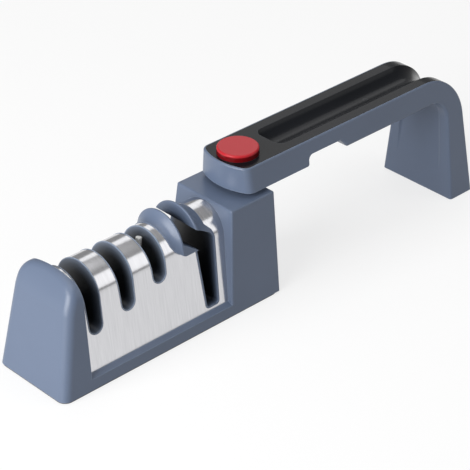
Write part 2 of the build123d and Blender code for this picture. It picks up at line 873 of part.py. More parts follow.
def trough_section(plane, grow):
    """Round section of the thumb groove on a plane whose origin is the bend's centre."""
    radius = (groove_half**2 + groove_depth**2) / (2 * groove_depth)
    centre = bend_radius - groove_depth + radius
    top = bend_radius + edge_round
    half = ((radius + grow) ** 2 - (centre - top) ** 2) ** 0.5
    with BuildSketch(plane) as face:
        with BuildLine():
            ThreePointArc((-half, top), (0, centre - radius - grow), (half, top))
            Line((half, top), (-half, top))
        make_face()
    return face.sketch


def groove_solid(grow=0.0):
    """Thumb groove: a round trough along the bar and over the bend, fading out down the leg."""
    depth = groove_depth + grow
    start = pivot_distance + groove_start - grow
    low = handle_top - depth
    bend_z = handle_top - bend_radius
    bend_x = total_length - leg_lean_share * bend_z - bend_radius * (1 + leg_lean_share**2) ** 0.5
    bend_angle = degrees(atan(1 / leg_lean_share))
    points = [
        (start, handle_top + edge_round),
        (start, low),
        (total_length - leg_lean_share * low - depth, low),
        (total_length - leg_lean_share * groove_fade_z - depth, groove_fade_z),
        (total_length - leg_lean_share * groove_end_z + edge_round, groove_end_z),
        (total_length + edge_round, handle_top + edge_round),
    ]
    across = Plane(origin=(cap_x + bend_x, 0, bend_z), x_dir=(0, 1, 0), z_dir=(1, 0, 0))
    bend_axis = Axis((cap_x + bend_x, 0, bend_z), (0, 1, 0))
    with BuildPart() as trough:
        extrude(trough_section(across, grow), amount=start - bend_x)
        revolve(trough_section(across, grow), axis=bend_axis, revolution_arc=bend_angle)
        extrude(trough_section(across.rotated((0, bend_angle, 0)), grow), amount=bend_z)
    with BuildPart() as solid:
        band = polygon(side, points, [(2, bend_radius - depth), (3, groove_fade_radius)])
        extrude(band, amount=groove_half + grow, both=True)
        fillet(solid.edges().filter_by(Axis.Z).group_by(Axis.X)[0], groove_corner)
        fillet(solid.edges().filter_by(Axis.X).group_by(Axis.Z)[0], groove_round)
        add(trough.part, mode=Mode.INTERSECT)
    return solid.part


# Outside of the handle with its rounded edges
with BuildPart() as handle_outside:
    add(bar_and_leg(0, 0, 0, 0, leg_foot))
    top_face = handle_outside.faces().sort_by(Axis.Z)[-1]
    back_face = handle_outside.faces().filter_by(GeomType.PLANE).sort_by(Axis.X)[-1]
    round_faces = handle_outside.faces().filter_by(GeomType.CYLINDER)
    bend_face = round_faces.filter_by(lambda face: abs(face.radius - bend_radius) < seat_gap)[0]
    outline = ShapeList(top_face.edges() + back_face.edges() + bend_face.edges())
    outline = outline.filter_by(
        lambda edge: edge.geom_type != GeomType.LINE or abs(direction(edge).Y) < cross_share
    )
    fillet(outline, rim_round)
    upright_faces = handle_outside.faces().filter_by(Axis.X)
    leg_face_x = cap_x + leg_inner
    inner_face = upright_faces.filter_by(lambda face: abs(face.center().X - leg_face_x) < seat_gap)[0]
    fillet(inner_face.edges().filter_by(lambda edge: abs(direction(edge).Y) < cross_share), inner_round)

# Bed of the insert, hollow of the bar and leg
with BuildPart() as insert_bed:
    add(bar_and_leg(-edge_round, 0, rim_width, rim_width, insert_foot - insert_gap))
    add(bar_and_leg(insert_thickness + seat_gap, 0, 0, 0, leg_foot), mode=Mode.SUBTRACT)

latch_half = flat_offset + seat_gap
latch_bend = latch_half + latch_wire / 2
latch_x = pivot_distance + latch_length - latch_wire / 2 - latch_bend
latch_z = floor_top + latch_lift
screw_columns = [pivot_distance + first_screw_offset, pivot_distance + second_screw_offset]
column_top = floor_top + latch_wire
with BuildPart() as handle_hollow:
    cavity_foot = leg_foot + handle_wall + leg_pad_thickness
    add(bar_and_leg(insert_thickness - seat_gap, handle_floor, handle_wall, handle_wall, cavity_foot))
    add(channel_solid(handle_wall), mode=Mode.SUBTRACT)
    with BuildSketch(plan(floor_top)):
        with Locations((pivot_distance, 0)):
            Circle(button_radius + slide_gap)
    extrude(amount=handle_top - insert_thickness - floor_top)
    with BuildSketch(plan(floor_top - edge_round)):
        with Locations((latch_x, 0)):
            Circle(latch_bend + latch_wire / 2)
    extrude(amount=latch_lift + edge_round - latch_wire / 2 - seat_gap, mode=Mode.SUBTRACT)
    with BuildSketch(plan(floor_top - edge_round)):
        with Locations((latch_x, 0)):
            Circle(latch_half - seat_gap)
    extrude(amount=latch_lift + edge_round + latch_wire, mode=Mode.SUBTRACT)
    with BuildSketch(plan(floor_top - edge_round)):
        for distance in screw_columns:
            with Locations((distance, 0)):
                Circle(handle_boss_radius)
    extrude(amount=edge_round + column_top - floor_top, mode=Mode.SUBTRACT)

pad_left = leg_inner + channel_depth + leg_pad_inset / 2
pad_right = total_length - leg_pad_inset


def leg_pad_outline(height, grow=0.0):
    """Outline of the pad under the leg."""
    with BuildSketch(plan(height)) as face:
        with Locations(((pad_left + pad_right) / 2, 0)):
            width = handle_foot_width - 2 * leg_pad_inset + 2 * grow
            RectangleRounded(pad_right - pad_left + 2 * grow, width, edge_round)
    return face.sketch


head_rise = handle_under + handle_screw_sink + handle_screw_height
with BuildPart() as handle_body:
    add(handle_outside.part)
    add(channel_solid(), mode=Mode.SUBTRACT)
    add(insert_bed.part, mode=Mode.SUBTRACT)
    add(handle_hollow.part, mode=Mode.SUBTRACT)
    extrude(leg_pad_outline(0, seat_gap), amount=leg_pad_thickness + seat_gap, mode=Mode.SUBTRACT)
    with BuildSketch(plan(handle_under)):
        with Locations((pivot_distance, 0)):
            Circle(post_radius + running_gap)
    extrude(amount=handle_floor, mode=Mode.SUBTRACT)
    with BuildSketch(plan(handle_under)):
        for distance in screw_columns:
            with Locations((distance, 0)):
                Circle(handle_screw_head + slide_gap)
    extrude(amount=head_rise - handle_under, mode=Mode.SUBTRACT)
    with BuildSketch(plan(handle_under)):
        for distance in screw_columns:
            with Locations((distance, 0)):
                Circle(handle_screw_radius + slide_gap)
    extrude(amount=column_top - handle_under, mode=Mode.SUBTRACT)
handle_body.part.label = "handle_body"
export_step(handle_body.part, "parts/handle_body.step")

with BuildPart() as leg_pad:
    extrude(leg_pad_outline(0), amount=leg_pad_thickness)
    chamfer(leg_pad.edges().group_by(Axis.Z)[0], tip_round)
leg_pad.part.label = "leg_pad"
export_step(leg_pad.part, "parts/leg_pad.step")

# Grip insert: a strip over bar, bend and leg, with the groove's tray and two screw bosses
side_gap = rim_width + insert_gap
with BuildPart() as insert_strip:
    add(bar_and_leg(0, 0, side_gap, side_gap, insert_foot))
    add(bar_and_leg(insert_thickness, -edge_round, 0, 0, leg_foot), mode=Mode.SUBTRACT)
with BuildPart() as groove_tray:
    add(groove_solid(groove_wall))
    add(bar_and_leg(0, 0, side_gap, side_gap, insert_foot), mode=Mode.INTERSECT)
with BuildPart() as insert_bosses:
    with BuildSketch(plan(column_top + seat_gap)):
        for distance in screw_columns:
            with Locations((distance, 0)):
                Circle(handle_boss_radius)
    extrude(amount=handle_top - groove_depth - groove_wall / 2 - column_top)
with BuildPart() as grip_insert:
    add(insert_strip.part)
    add(groove_tray.part)
    add(insert_bosses.part)
    add(groove_solid(), mode=Mode.SUBTRACT)
    with BuildSketch(plan(insert_under - edge_round)):
        with Locations((pivot_distance, 0)):
            Circle(button_radius + button_gap)
    extrude(amount=insert_thickness + 2 * edge_round, mode=Mode.SUBTRACT)
    with BuildSketch(plan(column_top)):
        for distance in screw_columns:
            with Locations((distance, 0)):
                Circle(handle_screw_radius + pilot_gap)
    extrude(amount=head_rise + handle_screw_rise - column_top, mode=Mode.SUBTRACT)
grip_insert.part.label = "grip_insert"
export_step(grip_insert.part, "parts/grip_insert.step")

with BuildPart() as handle_screws:
    with BuildSketch(plan(head_rise - handle_screw_height)):
        for distance in screw_columns:
            with Locations((distance, 0)):
                Circle(handle_screw_head)
    extrude(amount=handle_screw_height - seat_gap)
    with BuildSketch(plan(head_rise - handle_screw_height)):
        for distance in screw_columns:
            with Locations((distance, 0)):
                Circle(handle_screw_radius)
    extrude(amount=handle_screw_height + handle_screw_rise - seat_gap)
handle_screws.part.label = "handle_screws"
export_step(handle_screws.part, "parts/handle_screws.step")

# Pivot post: shank in the block, collar under the handle, flats for the latch, bore for the spring
post_top = handle_under + post_height
clip_low = floor_top + 2 * seat_gap + washer_thickness
clip_high = clip_low + clip_thickness
shank_foot = block_top - shank_depth
with BuildPart() as pivot_post:
    with BuildSketch(Plane(origin=(pivot_x, 0, 0), x_dir=(1, 0, 0), z_dir=(0, -1, 0))):
        with BuildLine():
            Polyline(
                (0, shank_foot + seat_gap),
                (shank_radius, shank_foot + seat_gap),
                (shank_radius, block_top + seat_gap),
                (collar_radius, block_top + seat_gap),
                (collar_radius, handle_under - seat_gap),
                (post_radius, handle_under - seat_gap),
                (post_radius, clip_low - seat_gap),
                (groove_radius, clip_low - seat_gap),
                (groove_radius, clip_high + seat_gap),
                (post_radius, clip_high + seat_gap),
                (post_radius, post_top),
                (bore_radius, post_top),
                (bore_radius, post_top - bore_depth),
                (0, post_top - bore_depth),
                close=True,
            )
        make_face()
    revolve(axis=Axis((pivot_x, 0, 0), (0, 0, 1)))
    with BuildSketch(plan(clip_high + 2 * seat_gap)):
        for turn in (1, -1):
            with Locations((pivot_distance, turn * (flat_offset + post_radius))):
                Rectangle(2 * collar_radius, 2 * post_radius)
    extrude(amount=post_height, mode=Mode.SUBTRACT)
    with BuildSketch(plan(shank_foot)):
        with Locations((pivot_distance, 0)):
            Circle(pivot_screw_radius + pilot_gap)
    extrude(amount=pivot_screw_length / 2 + edge_round, mode=Mode.SUBTRACT)
pivot_post.part.label = "pivot_post"
export_step(pivot_post.part, "parts/pivot_post.step")

with BuildPart() as pivot_screw:
    with BuildSketch(plan(shank_foot - pivot_screw_length / 2 - seat_gap)):
        with Locations((pivot_distance, 0)):
            Circle(pivot_screw_radius)
    extrude(amount=pivot_screw_length)
    with BuildSketch(plan(shank_foot - pivot_screw_length / 2 - seat_gap)):
        with Locations((pivot_distance, 0)):
            Circle(screw_head_radius)
    extrude(amount=-screw_head_height)
pivot_screw.part.label = "pivot_screw"
export_step(pivot_screw.part, "parts/pivot_screw.step")

with BuildPart() as pivot_washer:
    with BuildSketch(plan(floor_top + seat_gap)):
        with Locations((pivot_distance, 0)):
            Circle(washer_radius)
            Circle(post_radius + seat_gap, mode=Mode.SUBTRACT)
    extrude(amount=washer_thickness)
pivot_washer.part.label = "pivot_washer"
export_step(pivot_washer.part, "parts/pivot_washer.step")

with BuildPart() as retaining_clip:
    with BuildSketch(plan(clip_low)):
        with Locations((pivot_distance, 0)):
            Circle(clip_radius)
            Circle(groove_radius + seat_gap, mode=Mode.SUBTRACT)
        with Locations((pivot_distance - clip_radius, 0)):
            Rectangle(clip_radius, clip_mouth, mode=Mode.SUBTRACT)
    extrude(amount=clip_thickness)
retaining_clip.part.label = "retaining_clip"
export_step(retaining_clip.part, "parts/retaining_clip.step")

# Latch spring: a bent wire that lies on both flats of the post
with BuildPart() as latch_spring:
    with BuildLine(plan(latch_z)) as wire:
        Line((pivot_distance - latch_reach, latch_bend), (latch_x, latch_bend))
        ThreePointArc((latch_x, latch_bend), (latch_x + latch_bend, 0), (latch_x, -latch_bend))
        Line((latch_x, -latch_bend), (pivot_distance - latch_reach, -latch_bend))
    with BuildSketch(Plane(origin=wire.line @ 0, z_dir=wire.line % 0)):
        Circle(latch_wire / 2)
    sweep(path=wire.line)
latch_spring.part.label = "latch_spring"
export_step(latch_spring.part, "parts/latch_spring.step")

# Button: a hollow cap with a flange below the insert, a spring seat and a stem
flange_low = insert_under - seat_gap - button_flange
button_top = handle_top + button_proud
boss_low = post_top + button_travel + slide_gap
bore_floor = post_top - bore_depth
lug_tip = floor_top + lug_tip_gap + button_travel
lug_half = flat_offset - lug_clearance
lug_start = button_radius - button_wall - lug_root
lug_end = button_radius + lug_nose
with BuildPart() as button:
    with BuildSketch(plan(flange_low)):
        with Locations((pivot_distance, 0)):
            Circle(button_radius)
    extrude(amount=button_top - flange_low)
    fillet(button.edges().group_by(Axis.Z)[-1], button_round)
    with BuildSketch(plan(flange_low)):
        with Locations((pivot_distance, 0)):
            Circle(button_radius + flange_reach)
        with Locations((pivot_distance - flange_cut - button_radius, 0)):
            Rectangle(2 * button_radius, 4 * button_radius, mode=Mode.SUBTRACT)
    extrude(amount=button_flange)
    with BuildSketch(plan(flange_low)):
        with Locations((pivot_distance, 0)):
            Circle(button_radius - button_wall)
    extrude(amount=button_top - button_wall - flange_low, mode=Mode.SUBTRACT)
    with BuildSketch(plan(flange_low)):
        with Locations((pivot_distance + (lug_start + lug_end) / 2, 0)):
            Rectangle(lug_end - lug_start + 2 * seat_gap, 2 * (lug_half + lug_spread + seat_gap))
    extrude(amount=button_flange + seat_gap, mode=Mode.SUBTRACT)
button.part.label = "button"
export_step(button.part, "parts/button.step")

# Release wedge: the plate and stem under the button, with the lug that spreads the latch
with BuildPart() as release_wedge:
    with BuildSketch(plan(flange_low)):
        with Locations((pivot_distance, 0)):
            Circle(button_radius - button_wall - seat_gap)
    extrude(amount=button_flange)
    with BuildSketch(plan(boss_low)):
        with Locations((pivot_distance, 0)):
            Circle(stem_boss)
    extrude(amount=button_top - button_wall - seat_gap - boss_low)
    with BuildSketch(plan(bore_floor + button_travel + stem_end_gap)):
        with Locations((pivot_distance, 0)):
            Circle(stem_radius)
    extrude(amount=boss_low - bore_floor - button_travel)
    lug_points = [
        (-lug_half, lug_tip),
        (lug_half, lug_tip),
        (lug_half + lug_spread, lug_tip + lug_ramp),
        (lug_half + lug_spread, flange_low + button_flange),
        (-lug_half - lug_spread, flange_low + button_flange),
        (-lug_half - lug_spread, lug_tip + lug_ramp),
    ]
    extrude(polygon(section(pivot_distance + lug_start), lug_points), amount=lug_end - lug_start)
release_wedge.part.label = "release_wedge"
export_step(release_wedge.part, "parts/release_wedge.step")

# Spring of the button: real coils around the stem, between the bore's floor and the seat
spring_low = bore_floor + seat_gap + spring_wire / 2
spring_high = boss_low - seat_gap - spring_wire / 2
spring_pitch = (spring_high - spring_low) / spring_turns
with BuildPart() as button_spring:
    with BuildLine() as coil:
        coil_foot = (pivot_x, 0, spring_low)
        Helix(pitch=spring_pitch, height=spring_high - spring_low, radius=spring_radius, center=coil_foot)
    with BuildSketch(Plane(origin=coil.line @ 0, z_dir=coil.line % 0)):
        Circle(spring_wire / 2)
    sweep(path=coil.line, is_frenet=True)
button_spring.part.label = "button_spring"
export_step(button_spring.part, "parts/button_spring.step")
print("least gap between the spring's coils, mm:", round(spring_pitch - spring_wire, 3))
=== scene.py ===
# %% [markdown]
# # A folding pull through knife sharpener
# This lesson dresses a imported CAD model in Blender. The frame brings every solid in metres,
# in its real place, so the work here is the camera, the light, the finishes and the small
# details that the solids leave out.

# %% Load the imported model
import math
import bpy
from mathutils import Matrix, Vector

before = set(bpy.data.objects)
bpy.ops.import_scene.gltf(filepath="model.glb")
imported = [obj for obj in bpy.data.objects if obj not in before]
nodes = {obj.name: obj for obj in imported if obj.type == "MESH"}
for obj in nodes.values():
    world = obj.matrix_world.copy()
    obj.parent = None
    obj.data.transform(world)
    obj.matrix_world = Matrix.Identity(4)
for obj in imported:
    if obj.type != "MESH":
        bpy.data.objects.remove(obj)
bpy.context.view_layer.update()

# %% [markdown]
# The photograph was taken from the left and above with a long lens, so the far leg looks
# almost as large as the near cap. A camera is placed by a point and by the three directions
# of its own axes: to the right, up, and back towards the photographer. A matrix holds these
# directly, which is more exact here than turning the camera by hand.

# %% Camera at the photograph's viewpoint
camera_place = Vector((-0.6094, -0.6289, 0.5669))
camera_right = Vector((0.7244, -0.6894, 0.0)).normalized()
camera_ahead = Vector((0.5851, 0.6148, -0.5288)).normalized()
camera_up = camera_right.cross(camera_ahead).normalized()
camera_data = bpy.data.cameras.new("photo_camera")
camera = bpy.data.objects.new("photo_camera", camera_data)
bpy.context.scene.collection.objects.link(camera)
camera_data.sensor_width = 36.0
camera_data.lens = 154.5
camera_data.clip_start = 0.01
camera_data.clip_end = 20.0
turn = Matrix((camera_right, camera_up, -camera_ahead)).transposed().to_4x4()
camera.matrix_world = Matrix.Translation(camera_place) @ turn
bpy.context.scene.camera = camera
print("camera", [round(value, 3) for value in camera.location], "lens", camera_data.lens)

# %% [markdown]
# Product photographs like this one stand on a seamless white sheet. One large plane does
# that. The camera and the steel's reflections see it white, half lifted by a plain glow, and
# it still takes the soft shadow. For the light that bounces up from it the sheet is darker,
# because a real one is only a small piece of white in a dark room.

# %% Floor
def deselect_all():
    """Nothing stays selected, so the next operator acts on its own piece alone."""
    if bpy.context.object and bpy.context.object.mode != "OBJECT":
        bpy.ops.object.mode_set(mode="OBJECT")
    bpy.ops.object.select_all(action="DESELECT")


def new_material(name):
    """An empty node material with its Principled shader, node tree and output."""
    material = bpy.data.materials.new(name)
    material.use_nodes = True
    tree = material.node_tree
    shader = tree.nodes["Principled BSDF"]
    return material, tree, shader


def link(tree, start, end):
    """Joins an output socket to an input socket."""
    tree.links.new(start, end)


deselect_all()
bpy.ops.mesh.primitive_plane_add(size=8.0, location=(0.0, 0.0, -0.0002))
floor = bpy.context.object
floor.name = "studio_floor"
floor_material, floor_tree, floor_shader = new_material("studio_white")
floor_shader.inputs["Base Color"].default_value = (0.35, 0.35, 0.35, 1.0)
floor_shader.inputs["Roughness"].default_value = 0.9
floor_shader.inputs["Specular IOR Level"].default_value = 0.0
paper = floor_tree.nodes.new("ShaderNodeBsdfDiffuse")
paper.inputs["Color"].default_value = (0.93, 0.93, 0.93, 1.0)
glow = floor_tree.nodes.new("ShaderNodeEmission")
glow.inputs["Strength"].default_value = 1.0
lifted = floor_tree.nodes.new("ShaderNodeMixShader")
lifted.inputs["Fac"].default_value = 0.72
link(floor_tree, paper.outputs["BSDF"], lifted.inputs[1])
link(floor_tree, glow.outputs["Emission"], lifted.inputs[2])
ray = floor_tree.nodes.new("ShaderNodeLightPath")
seen = floor_tree.nodes.new("ShaderNodeMath")
seen.operation = "MAXIMUM"
link(floor_tree, ray.outputs["Is Camera Ray"], seen.inputs[0])
link(floor_tree, ray.outputs["Is Glossy Ray"], seen.inputs[1])
chosen = floor_tree.nodes.new("ShaderNodeMixShader")
link(floor_tree, seen.outputs["Value"], chosen.inputs["Fac"])
link(floor_tree, floor_shader.outputs["BSDF"], chosen.inputs[1])
link(floor_tree, lifted.outputs["Shader"], chosen.inputs[2])
link(floor_tree, chosen.outputs["Shader"], floor_tree.nodes["Material Output"].inputs["Surface"])
floor.data.materials.append(floor_material)
print("floor", floor.name)

# %% [markdown]
# The faces that look left are the brightest, so a large low sheet stands there. A sheet
# overhead lights the table and keeps the shadow under the handle soft. Bent steel shows what
# stands around it: the bright band along its shoulder is a third sheet at the front right,
# and the thin dark line below that band is the dark room at table level. A dim fourth sheet
# behind gives the black grip its sheen. The world is a dim white room. The camera sees it
# white above the floor's far edge, and reflections see it a little brighter than it lights.

# %% Lights and world
def soft_light(name, place, target, size, power):
    """A square area lamp that looks at a point."""
    data = bpy.data.lights.new(name, "AREA")
    data.size = size
    data.energy = power
    lamp = bpy.data.objects.new(name, data)
    bpy.context.scene.collection.objects.link(lamp)
    lamp.location = place
    lamp.rotation_euler = (Vector(target) - Vector(place)).to_track_quat("-Z", "Y").to_euler()
    return lamp


table_centre = (0.0, 0.0, 0.0)
object_middle = (0.0, 0.0, 0.04)
soft_light("overhead_sheet", (0.0, 0.1, 1.6), table_centre, 1.6, 11.5)
soft_light("left_sheet", (-1.25, -0.05, 0.45), (0.0, 0.0, 0.03), 1.1, 28.0)
soft_light("front_right_sheet", (0.76, -0.83, 0.62), object_middle, 0.9, 2.7)
soft_light("back_sheet", (0.85, 0.76, 0.88), object_middle, 0.6, 1.15)
room_light = 0.12
room_in_reflections = 0.34
world = bpy.data.worlds.new("studio_world")
bpy.context.scene.world = world
world.use_nodes = True
backdrop = world.node_tree.nodes["Background"]
backdrop.inputs["Color"].default_value = (1.0, 1.0, 1.0, 1.0)
world_ray = world.node_tree.nodes.new("ShaderNodeLightPath")
mirrored = world.node_tree.nodes.new("ShaderNodeMath")
mirrored.operation = "MULTIPLY_ADD"
mirrored.inputs[1].default_value = room_in_reflections - room_light
mirrored.inputs[2].default_value = room_light
link(world.node_tree, world_ray.outputs["Is Glossy Ray"], mirrored.inputs[0])
strength = world.node_tree.nodes.new("ShaderNodeMath")
strength.operation = "MAXIMUM"
link(world.node_tree, mirrored.outputs["Value"], strength.inputs[0])
link(world.node_tree, world_ray.outputs["Is Camera Ray"], strength.inputs[1])
link(world.node_tree, strength.outputs["Value"], backdrop.inputs["Strength"])
bpy.context.scene.view_settings.view_transform = "Standard"

# %% [markdown]
# Light catches the small rounded edges of a moulding as fine bright lines, and the cut edges
# of a steel sheet sit in fine lines of shade. Both are painted into the colour: a painted
# highlight along the edges of the plastics and the small metal parts, painted shade along the
# cover's edges. The Bevel node answers where an edge is: it rounds the normal there, so the
# rounded and the plain normal disagree. Their difference becomes a mask, and a mix node uses
# it to paint the edge tone along the edges only.

# %% Edge mask
def edge_mask(tree, radius):
    """Value near 1 along the edges of a piece and 0 on its open faces."""
    rounded = tree.nodes.new("ShaderNodeBevel")
    rounded.samples = 8
    rounded.inputs["Radius"].default_value = radius
    surface = tree.nodes.new("ShaderNodeNewGeometry")
    agree = tree.nodes.new("ShaderNodeVectorMath")
    agree.operation = "DOT_PRODUCT"
    link(tree, rounded.outputs["Normal"], agree.inputs[0])
    link(tree, surface.outputs["Normal"], agree.inputs[1])
    spread = tree.nodes.new("ShaderNodeMapRange")
    spread.inputs["From Min"].default_value = 0.995
    spread.inputs["From Max"].default_value = 0.90
    link(tree, agree.outputs["Value"], spread.inputs["Value"])
    return spread.outputs["Result"]


def mix_tone(tree, mask, plain, changed):
    """Turns the plain tone of a socket into the changed colour where the mask is 1."""
    mix = tree.nodes.new("ShaderNodeMix")
    mix.data_type = "RGBA"
    link(tree, mask, mix.inputs["Factor"])
    link(tree, plain, mix.inputs["A"])
    mix.inputs["B"].default_value = (*changed, 1.0)
    return mix.outputs["Result"]


print("edge mask ready")

# %% [markdown]
# The head and the handle are moulded in the same blue-grey plastic. Its surface is satin: a
# very fine grain breaks the reflections, and the tone wanders a little where the melt cooled
# unevenly. Noise on Object coordinates gives both without any picture file.

# %% Moulded plastics
def moulded_plastic(name, dark, light, edge, roughness, grain_size, grain_height):
    """Plastic whose colour wanders between two tones, with fine grain and a painted highlight
    along its edges.
    """
    material, tree, shader = new_material(name)
    place = tree.nodes.new("ShaderNodeTexCoord")
    place.name = "place"
    drift = tree.nodes.new("ShaderNodeTexNoise")
    drift.inputs["Scale"].default_value = 18.0
    drift.inputs["Detail"].default_value = 3.0
    link(tree, place.outputs["Object"], drift.inputs["Vector"])
    tone = tree.nodes.new("ShaderNodeValToRGB")
    tone.color_ramp.elements[0].position = 0.3
    tone.color_ramp.elements[0].color = (*dark, 1.0)
    tone.color_ramp.elements[1].position = 0.7
    tone.color_ramp.elements[1].color = (*light, 1.0)
    link(tree, drift.outputs["Fac"], tone.inputs["Fac"])
    # Painted highlight: the lighter edge tone stands in for light caught on the rounded edges.
    painted_edge_tone = mix_tone(tree, edge_mask(tree, 0.0006), tone.outputs["Color"], edge)
    link(tree, painted_edge_tone, shader.inputs["Base Color"])
    grain = tree.nodes.new("ShaderNodeTexNoise")
    grain.inputs["Scale"].default_value = grain_size
    grain.inputs["Detail"].default_value = 2.0
    link(tree, place.outputs["Object"], grain.inputs["Vector"])
    gloss = tree.nodes.new("ShaderNodeMapRange")
    gloss.inputs["To Min"].default_value = roughness - 0.05
    gloss.inputs["To Max"].default_value = roughness + 0.05
    link(tree, grain.outputs["Fac"], gloss.inputs["Value"])
    link(tree, gloss.outputs["Result"], shader.inputs["Roughness"])
    bump = tree.nodes.new("ShaderNodeBump")
    bump.inputs["Strength"].default_value = 0.25
    bump.inputs["Distance"].default_value = grain_height
    link(tree, grain.outputs["Fac"], bump.inputs["Height"])
    link(tree, bump.outputs["Normal"], shader.inputs["Normal"])
    return material


def paint(material, *names):
    """Gives a CAD node its finish."""
    for name in names:
        mesh = nodes[name].data
        mesh.materials.clear()
        mesh.materials.append(material)


blue_dark = (0.102, 0.134, 0.202)
blue_light = (0.112, 0.147, 0.221)
# The edge tone below is a painted highlight, lighter than the plastic itself.
blue_edge_highlight = (0.165, 0.208, 0.290)
satin = 0.36
satin_grain = 3200.0
satin_height = 0.00003
blue_grey = moulded_plastic(
    "blue_grey_plastic", blue_dark, blue_light, blue_edge_highlight, satin, satin_grain, satin_height
)
charcoal = moulded_plastic(
    "charcoal_grip", (0.006, 0.007, 0.009), (0.009, 0.010, 0.013), (0.03, 0.034, 0.042),
    0.2, 2600.0, 0.00001,
)
charcoal.node_tree.nodes["Principled BSDF"].inputs["Specular IOR Level"].default_value = 0.14
inner_black = moulded_plastic(
    "inner_black", (0.006, 0.006, 0.008), (0.010, 0.010, 0.012), (0.02, 0.02, 0.025),
    0.6, 2400.0, 0.00003,
)
pad_rubber = moulded_plastic(
    "pad_rubber", (0.012, 0.012, 0.014), (0.020, 0.020, 0.022), (0.03, 0.03, 0.033),
    0.8, 1500.0, 0.0001,
)
white_ceramic = moulded_plastic(
    "white_ceramic", (0.86, 0.86, 0.84), (0.93, 0.93, 0.91), (0.95, 0.95, 0.94),
    0.5, 2800.0, 0.00003,
)
dark_ceramic = moulded_plastic(
    "dark_ceramic", (0.02, 0.02, 0.023), (0.03, 0.03, 0.035), (0.05, 0.05, 0.055),
    0.5, 2800.0, 0.00003,
)
paint(blue_grey, "base_frame", "handle_body")
paint(charcoal, "grip_insert")
paint(inner_black, "base_plate", "release_wedge")
paint(inner_black, "coarse_holder", "fine_holder", "polish_holder", "scissors_holder")
paint(pad_rubber, "base_pad", "leg_pad")
paint(white_ceramic, "ceramic_stick_1", "ceramic_stick_2")
paint(dark_ceramic, "scissors_rod")
print("plastics painted")

# %% [markdown]
# The core and the scissors guide are the same plastic, but their slots are deep and narrow.
# Inside them the shade falls to almost black within a few millimetres, so that shade is
# painted into the colour, and the lip round each slot gets a painted highlight. Both follow
# from one number: how far a point lies below the cover's skin. Beside the arch that is a
# distance from the arch's axis, and beside the leaning sides it is a distance from a plane,
# so the nodes compute both and choose by height.

# %% Slot depth
def run_math(tree, operation, first, second):
    """One math node; each input is a number or a socket."""
    node = tree.nodes.new("ShaderNodeMath")
    node.operation = operation
    for socket, value in zip(node.inputs, (first, second)):
        if isinstance(value, float):
            socket.default_value = value
        else:
            link(tree, value, socket)
    return node.outputs["Value"]


cover_radius = 0.015805
cover_axis_z = 0.039995
cover_lean = math.atan(0.158)
shade_start = -0.002
shade_end = 0.010


def depth_below_cover(tree):
    """Distance in metres from the cover's outer skin inwards."""
    split = tree.nodes.new("ShaderNodeSeparateXYZ")
    link(tree, tree.nodes["place"].outputs["Object"], split.inputs["Vector"])
    aside = run_math(tree, "ABSOLUTE", split.outputs["Y"], 0.0)
    above = run_math(tree, "SUBTRACT", split.outputs["Z"], cover_axis_z)
    across = run_math(tree, "MULTIPLY", aside, math.cos(cover_lean))
    up = run_math(tree, "MULTIPLY", above, math.sin(cover_lean))
    flat = run_math(tree, "ADD", across, up)
    aside_square = run_math(tree, "MULTIPLY", aside, aside)
    above_square = run_math(tree, "MULTIPLY", above, above)
    radial = run_math(tree, "SQRT", run_math(tree, "ADD", aside_square, above_square), 0.0)
    on_arch = run_math(tree, "GREATER_THAN", above, cover_radius * math.sin(cover_lean))
    arch_part = run_math(tree, "MULTIPLY", radial, on_arch)
    flat_part = run_math(tree, "MULTIPLY", flat, run_math(tree, "SUBTRACT", 1.0, on_arch))
    return run_math(tree, "SUBTRACT", cover_radius, run_math(tree, "ADD", arch_part, flat_part))


def shade_slots(material, stops):
    """Paints shade into the slots: multiplies the tone by shares that change with the depth
    below the cover.
    """
    tree = material.node_tree
    shader = tree.nodes["Principled BSDF"]
    plain = shader.inputs["Base Color"].links[0].from_socket
    scaled = tree.nodes.new("ShaderNodeMapRange")
    scaled.inputs["From Min"].default_value = shade_start
    scaled.inputs["From Max"].default_value = shade_end
    link(tree, depth_below_cover(tree), scaled.inputs["Value"])
    shares = tree.nodes.new("ShaderNodeValToRGB")
    ramp = shares.color_ramp
    while len(ramp.elements) < len(stops):
        ramp.elements.new(0.5)
    for element, (depth, share) in zip(ramp.elements, stops):
        element.position = (depth - shade_start) / (shade_end - shade_start)
        element.color = (share, share, share, 1.0)
    link(tree, scaled.outputs["Result"], shares.inputs["Fac"])
    darker = tree.nodes.new("ShaderNodeMix")
    darker.data_type = "RGBA"
    darker.blend_type = "MULTIPLY"
    darker.inputs["Factor"].default_value = 1.0
    link(tree, plain, darker.inputs["A"])
    link(tree, shares.outputs["Color"], darker.inputs["B"])
    link(tree, darker.outputs["Result"], shader.inputs["Base Color"])


# The core's lighter tone is a painted highlight on the lip round each slot; the shares below
# keep it there, bring it back to the body's tone and paint the shade inside.
core_grey = moulded_plastic(
    "core_grey_plastic", (0.20, 0.245, 0.33), (0.22, 0.27, 0.36), (0.26, 0.31, 0.40),
    satin, satin_grain, satin_height,
)
core_lip_highlight_and_shade = ((0.0002, 1.0), (0.0006, 0.50), (0.003, 0.26), (0.007, 0.03))
shade_slots(core_grey, core_lip_highlight_and_shade)
guide_grey = moulded_plastic(
    "guide_grey_plastic", blue_dark, blue_light, blue_edge_highlight, satin, satin_grain, satin_height
)
# Painted shade inside the scissors guide's lane, darker with depth.
guide_slot_shade = ((0.0, 1.0), (0.0015, 0.45), (0.004, 0.12), (0.008, 0.04))
shade_slots(guide_grey, guide_slot_shade)
paint(core_grey, "core_housing")
paint(guide_grey, "scissors_guide")
print("slots shaded")
